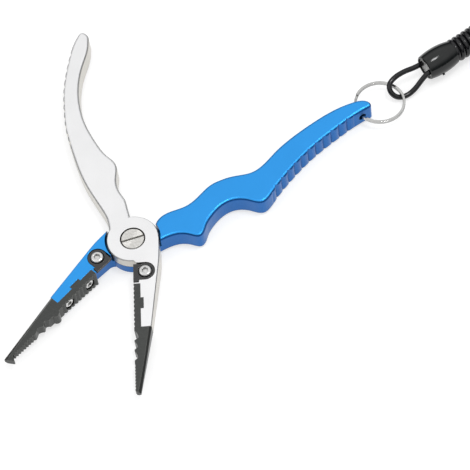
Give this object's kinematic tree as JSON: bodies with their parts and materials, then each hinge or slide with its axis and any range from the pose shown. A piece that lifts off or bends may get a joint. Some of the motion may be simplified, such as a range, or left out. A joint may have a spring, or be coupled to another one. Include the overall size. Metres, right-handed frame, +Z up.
{
  "type": "fishing pliers",
  "caption": "Open fishing pliers with contoured two-tone handles, crimping jaw inserts, line cutters, and a coiled lanyard with a snap hook on a split ring.",
  "frame": {"origin": "on the pivot axis, at the underside of the tool, which is the plane it lies on", "axes": "+Z up along the pivot axis; +X along the middle of the open jaws, towards their tips; +Y to the blue handle's side"},
  "size_m": [0.3497, 0.1865, 0.0127],
  "materials": {
    "blue_anodised": "bead-blasted blue anodised satin",
    "silver_anodised": "bead-blasted clear anodised satin",
    "turned_steel": "turned",
    "spring_steel": "drawn wire",
    "washer": "smooth acetal",
    "jaw_steel": "dark satin plating",
    "cutter_steel": "dark tungsten, satin",
    "screw_steel": "bright",
    "ring_steel": "polished",
    "cord": "glossy black coated cord",
    "cap": "glossy black moulding",
    "ferrule": "grey moulding",
    "clip_metal": "nickel plated"
  },
  "bodies": {
    "blue_half": {"blue_arm": "blue_anodised", "pivot_screw": "turned_steel", "pivot_barrel_nut": "turned_steel", "pivot_washer": "washer", "return_spring": "spring_steel", "blue_jaw_insert": "jaw_steel", "blue_jaw_screws": "screw_steel", "blue_cutter": "cutter_steel", "blue_cutter_screw": "screw_steel"},
    "silver_half": {"silver_arm": "silver_anodised", "silver_jaw_insert": "jaw_steel", "silver_jaw_screws": "screw_steel", "silver_cutter": "cutter_steel", "silver_cutter_screw": "screw_steel"},
    "ring": {"split_ring": "ring_steel"},
    "lanyard": {"front_loop_cord": "cord", "front_end_cap": "cap", "front_ferrule": "ferrule", "coil_cord": "cord", "rear_end_cap": "cap", "rear_ferrule": "ferrule", "rear_loop_cord": "cord"},
    "clip_swivel_eye": {"swivel_eye": "clip_metal"},
    "clip_hook": {"snap_hook": "clip_metal", "gate_pin": "clip_metal", "gate_spring": "spring_steel"},
    "clip_gate": {"hook_gate": "clip_metal"}
  },
  "joints": [
    {"name": "arm_pivot", "type": "hinge", "parent": "blue_half", "child": "silver_half", "pos_m": [0, 0, 0.0048], "axis": [0, 0, -1], "range_deg": [0, 44.6], "stiffness_Nm_per_rad": 0.25, "springref_deg": -34.38, "deforming": ["return_spring"]},
    {"name": "ring_swing", "type": "hinge", "parent": "blue_half", "child": "ring", "pos_m": [-0.09152, 0.06964, 0.0048], "axis": [0.592, 0.8059, 0], "range_deg": [-110, 110]},
    {"name": "lanyard_swing", "type": "hinge", "parent": "ring", "child": "lanyard", "pos_m": [-0.10846, 0.08138, 0.0037], "axis": [0.592, 0.8059, 0], "range_deg": [-40, 20]},
    {"name": "clip_swing", "type": "hinge", "parent": "lanyard", "child": "clip_swivel_eye", "pos_m": [-0.25245, 0.07392, 0.0061], "axis": [0.7008, -0.7134, 0], "range_deg": [-60, 60]},
    {"name": "clip_swivel", "type": "hinge", "parent": "clip_swivel_eye", "child": "clip_hook", "pos_m": [-0.25778, 0.06636, 0.00549], "axis": [-0.5505, -0.8313, -0.0767], "continuous": true},
    {"name": "gate_hinge", "type": "hinge", "parent": "clip_hook", "child": "clip_gate", "pos_m": [-0.2585, 0.05368, 0.00464], "axis": [0.0424, 0.064, -0.9971], "range_deg": [0, 30], "stiffness_Nm_per_rad": 0.02, "springref_deg": -20.05, "deforming": ["gate_spring"]}
  ]
}
